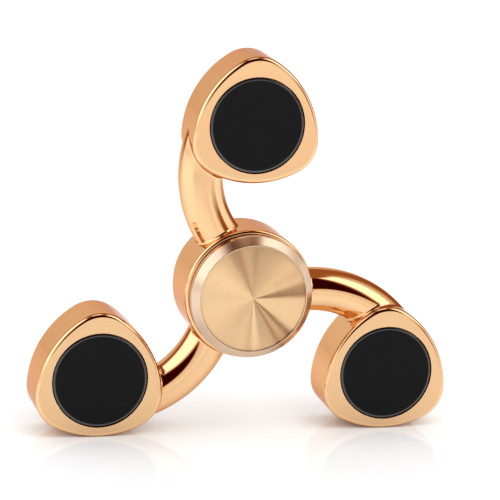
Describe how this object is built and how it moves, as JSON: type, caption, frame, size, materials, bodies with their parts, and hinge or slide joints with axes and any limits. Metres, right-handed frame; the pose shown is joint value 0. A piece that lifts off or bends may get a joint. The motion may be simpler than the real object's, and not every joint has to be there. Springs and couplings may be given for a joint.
{
  "type": "fidget spinner",
  "caption": "Fidget spinner with curved round arms, rounded-triangle pods with black inlays, a mirror rose gold frame and spun-metal finger caps on a shielded ball bearing.",
  "frame": {"origin": "centre of the ball bearing, on the spin axis, halfway between the front and back faces", "axes": "Y is the spin axis, -Y is the front; +Z points to the top pod; +X is right as seen from the front"},
  "size_m": [0.0744, 0.0164, 0.0673],
  "materials": {
    "rose_gold_plating": "mirror rose gold electroplate on die-cast zinc alloy",
    "polished_cap": "polished, pale warm silver",
    "spun_champagne": "circular spun finish, champagne anodised",
    "gloss_black": "gloss black with a rounded edge",
    "bearing_steel": "ground bearing steel",
    "ball_steel": "lapped steel balls",
    "cage_nylon": "moulded nylon",
    "zinc_steel": "turned steel, zinc plated"
  },
  "bodies": {
    "frame": {"spinner_frame": "rose_gold_plating", "bearing_outer_ring": "bearing_steel", "front_shield": "bearing_steel", "back_shield": "bearing_steel", "front_shield_clip": "bearing_steel", "back_shield_clip": "bearing_steel", "top_weight": "zinc_steel", "left_weight": "zinc_steel", "right_weight": "zinc_steel", "top_front_inlay": "gloss_black", "left_front_inlay": "gloss_black", "right_front_inlay": "gloss_black", "top_back_inlay": "gloss_black", "left_back_inlay": "gloss_black", "right_back_inlay": "gloss_black"},
    "finger_caps": {"front_cap": "polished_cap", "back_cap": "polished_cap", "front_cap_disc": "spun_champagne", "back_cap_disc": "spun_champagne", "cap_stud": "zinc_steel", "bearing_inner_ring": "bearing_steel"},
    "cage": {"ball_cage": "cage_nylon"},
    "ball_01": {"ball_01": "ball_steel"},
    "ball_02": {"ball_02": "ball_steel"},
    "ball_03": {"ball_03": "ball_steel"},
    "ball_04": {"ball_04": "ball_steel"},
    "ball_05": {"ball_05": "ball_steel"},
    "ball_06": {"ball_06": "ball_steel"},
    "ball_07": {"ball_07": "ball_steel"},
    "ball_08": {"ball_08": "ball_steel"},
    "ball_09": {"ball_09": "ball_steel"},
    "ball_10": {"ball_10": "ball_steel"}
  },
  "joints": [
    {"name": "caps_spin", "type": "hinge", "parent": "frame", "child": "finger_caps", "pos_m": [0, 0, 0], "axis": [0, -1, 0], "continuous": true},
    {"name": "cage_orbit", "type": "hinge", "parent": "frame", "child": "cage", "pos_m": [0, 0, 0], "axis": [0, -1, 0], "continuous": true},
    {"name": "ball_01_roll", "type": "hinge", "parent": "cage", "child": "ball_01", "pos_m": [0, 0, 0.00476], "axis": [0, -1, 0], "continuous": true},
    {"name": "ball_02_roll", "type": "hinge", "parent": "cage", "child": "ball_02", "pos_m": [-0.0028, 0, 0.00385], "axis": [0, -1, 0], "continuous": true},
    {"name": "ball_03_roll", "type": "hinge", "parent": "cage", "child": "ball_03", "pos_m": [-0.00453, 0, 0.00147], "axis": [0, -1, 0], "continuous": true},
    {"name": "ball_04_roll", "type": "hinge", "parent": "cage", "child": "ball_04", "pos_m": [-0.00453, 0, -0.00147], "axis": [0, -1, 0], "continuous": true},
    {"name": "ball_05_roll", "type": "hinge", "parent": "cage", "child": "ball_05", "pos_m": [-0.0028, 0, -0.00385], "axis": [0, -1, 0], "continuous": true},
    {"name": "ball_06_roll", "type": "hinge", "parent": "cage", "child": "ball_06", "pos_m": [0, 0, -0.00476], "axis": [0, -1, 0], "continuous": true},
    {"name": "ball_07_roll", "type": "hinge", "parent": "cage", "child": "ball_07", "pos_m": [0.0028, 0, -0.00385], "axis": [0, -1, 0], "continuous": true},
    {"name": "ball_08_roll", "type": "hinge", "parent": "cage", "child": "ball_08", "pos_m": [0.00453, 0, -0.00147], "axis": [0, -1, 0], "continuous": true},
    {"name": "ball_09_roll", "type": "hinge", "parent": "cage", "child": "ball_09", "pos_m": [0.00453, 0, 0.00147], "axis": [0, -1, 0], "continuous": true},
    {"name": "ball_10_roll", "type": "hinge", "parent": "cage", "child": "ball_10", "pos_m": [0.0028, 0, 0.00385], "axis": [0, -1, 0], "continuous": true}
  ],
  "couplings": [
    {"joint": "cage_orbit", "follows": "caps_spin", "ratio": 0.41664},
    {"joint": "ball_01_roll", "follows": "caps_spin", "ratio": -2.9157},
    {"joint": "ball_02_roll", "follows": "caps_spin", "ratio": -2.9157},
    {"joint": "ball_03_roll", "follows": "caps_spin", "ratio": -2.9157},
    {"joint": "ball_04_roll", "follows": "caps_spin", "ratio": -2.9157},
    {"joint": "ball_05_roll", "follows": "caps_spin", "ratio": -2.9157},
    {"joint": "ball_06_roll", "follows": "caps_spin", "ratio": -2.9157},
    {"joint": "ball_07_roll", "follows": "caps_spin", "ratio": -2.9157},
    {"joint": "ball_08_roll", "follows": "caps_spin", "ratio": -2.9157},
    {"joint": "ball_09_roll", "follows": "caps_spin", "ratio": -2.9157},
    {"joint": "ball_10_roll", "follows": "caps_spin", "ratio": -2.9157}
  ]
}
